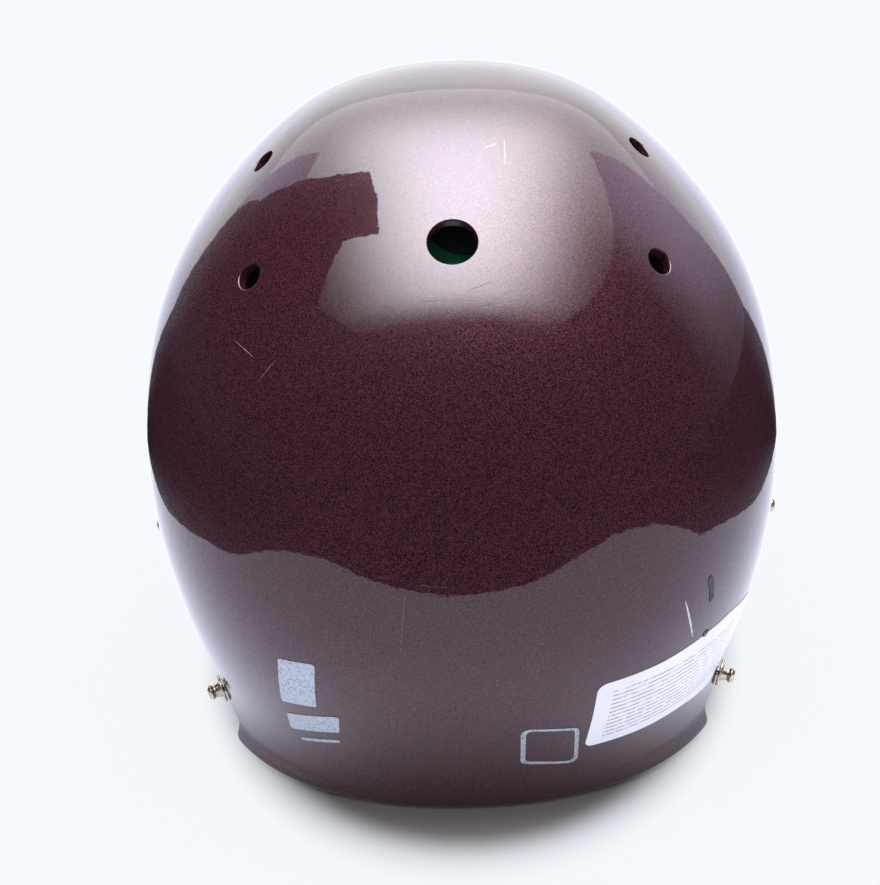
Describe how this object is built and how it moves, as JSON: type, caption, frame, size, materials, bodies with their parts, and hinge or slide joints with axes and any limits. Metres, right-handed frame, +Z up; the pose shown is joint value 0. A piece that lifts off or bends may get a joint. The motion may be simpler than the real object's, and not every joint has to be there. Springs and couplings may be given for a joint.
{
  "type": "american football helmet",
  "caption": "Football helmet: a glossy maroon shell with vents, padded liner, snap studs and a hinged wire face guard in straps and clips.",
  "frame": {"origin": "centre of the bounding box's bottom, on the surface the helmet stands on", "axes": "+Z up; -Y is the way the wearer faces and +Y is the nape; +X is the wearer's left"},
  "size_m": [0.2472, 0.3479, 0.246],
  "materials": {
    "maroon_paint": "deep maroon metal-flake paint under clear gloss, lightly scratched",
    "coated_wire": "satin black vinyl coat over steel wire",
    "strap_plastic": "moulded black plastic",
    "zinc_steel": "zinc plated steel",
    "nickel_brass": "nickel plated brass, slightly warm",
    "green_liner": "green flexible bladder, satin",
    "black_vinyl": "black vinyl skin over foam, satin",
    "black_rubber": "moulded black rubber"
  },
  "bodies": {
    "helmet": {"brow_pad": "black_vinyl", "brow_strap_left": "strap_plastic", "brow_strap_nut_left": "zinc_steel", "brow_strap_nut_right": "zinc_steel", "brow_strap_right": "strap_plastic", "brow_strap_screw_left": "zinc_steel", "brow_strap_screw_right": "zinc_steel", "bumper_screw_left": "zinc_steel", "bumper_screw_right": "zinc_steel", "crown_pad": "green_liner", "front_bumper": "black_rubber", "jaw_pad_left": "black_vinyl", "jaw_pad_right": "black_vinyl", "jaw_pad_snap_front_left": "nickel_brass", "jaw_pad_snap_front_right": "nickel_brass", "jaw_pad_snap_rear_left": "nickel_brass", "jaw_pad_snap_rear_right": "nickel_brass", "lower_strap_stud_left": "nickel_brass", "lower_strap_stud_right": "nickel_brass", "lower_stud_screw_left": "zinc_steel", "lower_stud_screw_right": "zinc_steel", "neck_pad": "black_vinyl", "rear_liner": "green_liner", "shell": "maroon_paint", "side_clip_left": "strap_plastic", "side_clip_nut_left": "zinc_steel", "side_clip_nut_right": "zinc_steel", "side_clip_right": "strap_plastic", "side_clip_screw_left": "zinc_steel", "side_clip_screw_right": "zinc_steel", "side_pad_left": "black_vinyl", "side_pad_right": "black_vinyl", "upper_strap_stud_left": "nickel_brass", "upper_strap_stud_right": "nickel_brass", "upper_stud_screw_left": "zinc_steel", "upper_stud_screw_right": "zinc_steel"},
    "guard": {"face_guard": "coated_wire"}
  },
  "joints": [
    {"name": "guard_swing", "type": "hinge", "parent": "helmet", "child": "guard", "pos_m": [0, -0.11595, 0.137], "axis": [-1, 0, 0], "range_deg": [0, 75]}
  ]
}
